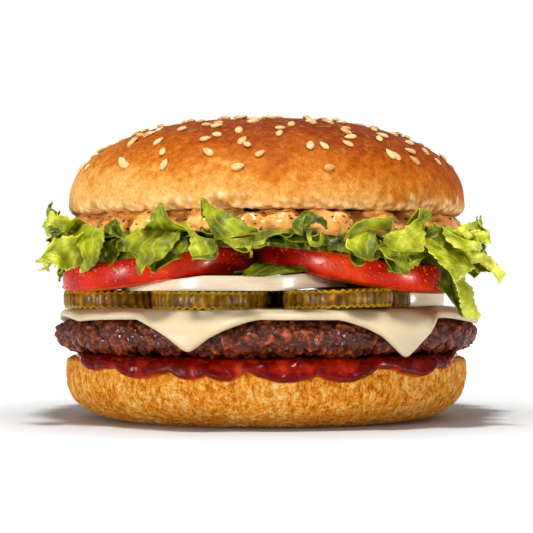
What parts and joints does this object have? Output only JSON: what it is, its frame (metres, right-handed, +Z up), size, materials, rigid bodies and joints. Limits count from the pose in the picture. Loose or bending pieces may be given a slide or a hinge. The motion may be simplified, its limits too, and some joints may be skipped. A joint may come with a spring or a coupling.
{
  "type": "hamburger",
  "caption": "Large round cheeseburger: seeded bun, herb sauce, frilled lettuce, tomato, onion and pickle slices, melted cheese, craggy beef patty and ketchup on a plain heel.",
  "frame": {"origin": "centre of the flat underside of the bottom bun, where it stands on the table", "axes": "+Z up through the stack of layers, -Y towards the burger's front as pictured, +X to its right"},
  "size_m": [0.1341, 0.1328, 0.0864],
  "materials": {
    "crown_crust": "baked bread crust, deep golden brown and softly glossy, with pale sesame seeds",
    "heel_crust": "matte toasted bread, golden, with fine pores",
    "ketchup": "wet, dark red and glossy",
    "beef": "seared minced beef, dark brown with wet glints",
    "cheese": "melted cheese, creamy and softly glossy",
    "pickle": "wet olive green",
    "onion": "wet, white and slightly see-through",
    "tomato": "wet red skin",
    "lettuce": "fresh leaf, bright green with pale edges",
    "herb_sauce": "creamy orange sauce with chopped herbs"
  },
  "bodies": {
    "root": {"bun_top": "crown_crust", "bun_bottom": "heel_crust", "ketchup": "ketchup", "patty": "beef", "cheese": "cheese", "sauce": "herb_sauce", "lettuce_inner": "lettuce", "lettuce_left_high": "lettuce", "lettuce_left_low": "lettuce", "lettuce_front_left_low": "lettuce", "lettuce_front_left_high": "lettuce", "lettuce_front_low": "lettuce", "lettuce_front_high": "lettuce", "lettuce_front_right_low": "lettuce", "lettuce_front_right_high": "lettuce", "lettuce_right_high": "lettuce", "lettuce_right_low": "lettuce", "lettuce_back_left_high": "lettuce", "lettuce_back_right_high": "lettuce", "lettuce_back_left_low": "lettuce", "lettuce_back_right_low": "lettuce", "lettuce_middle_left": "lettuce", "lettuce_middle_right": "lettuce", "pickle_left": "pickle", "pickle_front_left": "pickle", "pickle_front_right": "pickle", "pickle_right": "pickle", "pickle_back_left": "pickle", "pickle_back": "pickle", "onion_front": "onion", "onion_back": "onion", "onion_right": "onion", "tomato_left": "tomato", "tomato_right": "tomato", "tomato_back_left": "tomato", "tomato_back_right": "tomato"}
  },
  "joints": []
}
